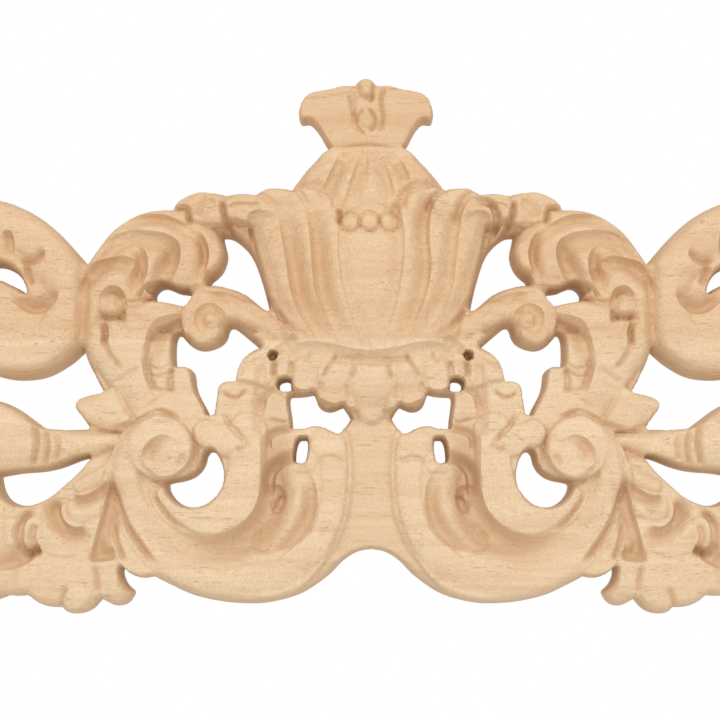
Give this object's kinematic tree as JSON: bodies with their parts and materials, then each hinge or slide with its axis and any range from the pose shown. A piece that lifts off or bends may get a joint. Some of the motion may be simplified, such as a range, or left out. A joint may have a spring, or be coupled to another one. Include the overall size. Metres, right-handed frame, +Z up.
{
  "type": "carved furniture applique",
  "caption": "Pierced wooden applique in relief: a fluted urn between acanthus arches, leafy scrolls and side volutes, with a flat back.",
  "frame": {"origin": "on the flat back, on the centre line, level with the foot of the urn", "axes": "+X to the viewer's right along the applique, +Y out of the flat back into the furniture, +Z up; the carved front faces -Y"},
  "size_m": [0.2749, 0.022, 0.1624],
  "materials": {
    "wood": "bare sanded hardwood, matt"
  },
  "bodies": {
    "root": {"applique": "wood"}
  },
  "joints": []
}
